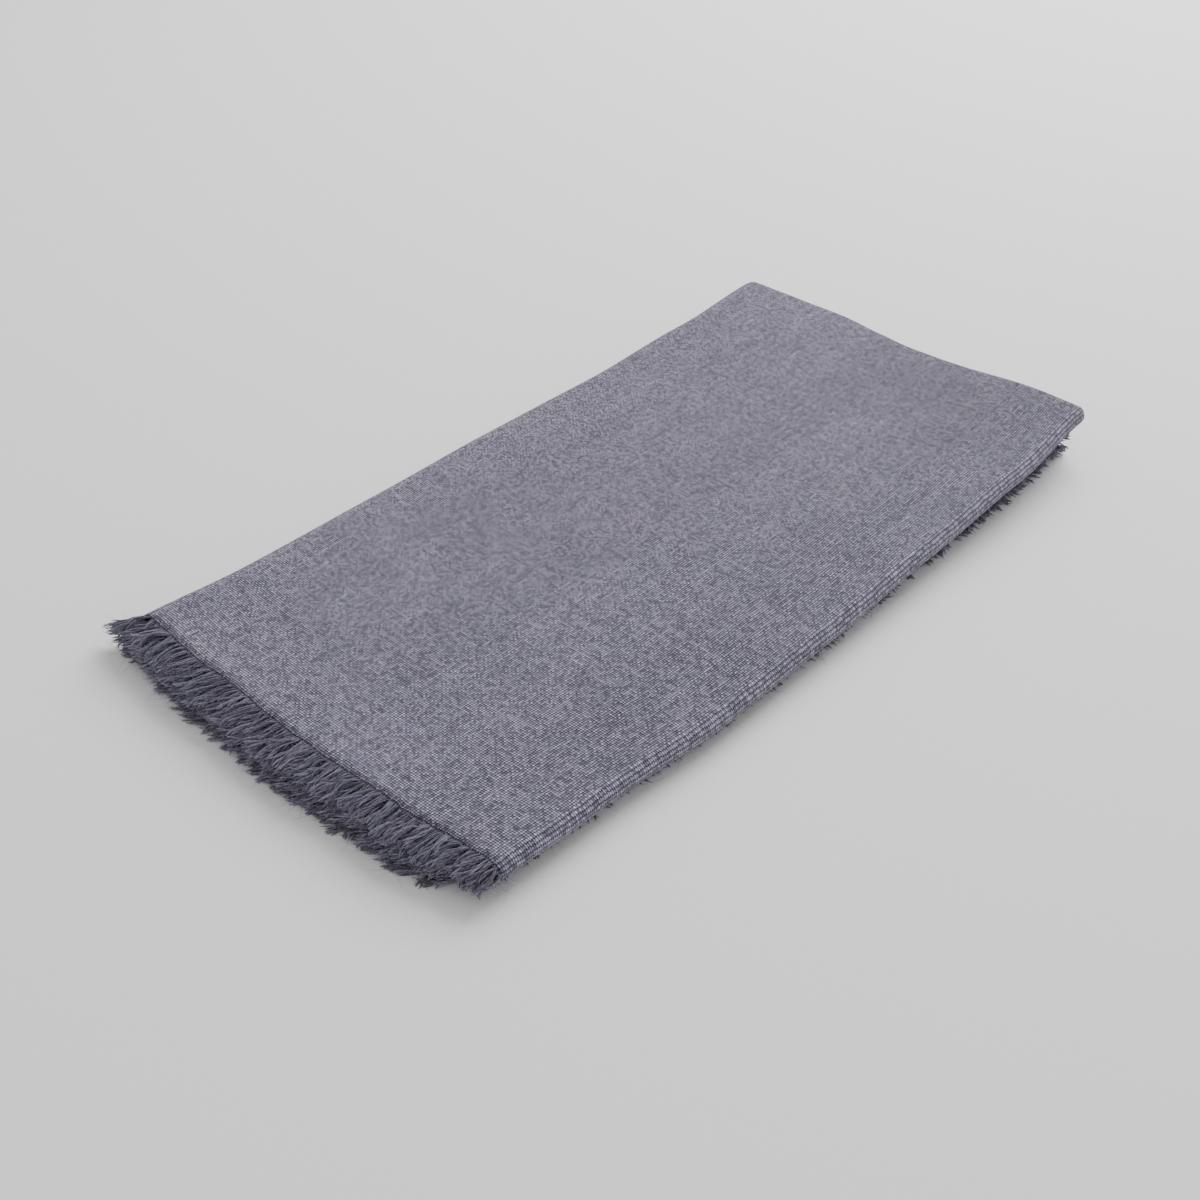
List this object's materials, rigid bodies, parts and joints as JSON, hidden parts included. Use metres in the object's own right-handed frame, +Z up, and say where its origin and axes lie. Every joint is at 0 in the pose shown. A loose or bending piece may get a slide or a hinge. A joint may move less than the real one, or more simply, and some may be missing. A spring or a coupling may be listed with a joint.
{
  "type": "folded cloth napkin",
  "caption": "Soft linen napkin with frayed edges, folded crosswise and lengthwise into a flat layered rectangle with a rounded fold along one side.",
  "frame": {"origin": "centre of the space the folded napkin takes, on the surface it lies on", "axes": "+Z up through the layers, +Y along the napkin from its frayed short end to its folded short end, +X towards the long side with the rounded fold"},
  "size_m": [0.1294, 0.262, 0.0176],
  "materials": {
    "linen": "matt washed plain-weave linen with fine slubs and frayed thread ends"
  },
  "bodies": {
    "root": {"napkin": "linen"}
  },
  "joints": []
}
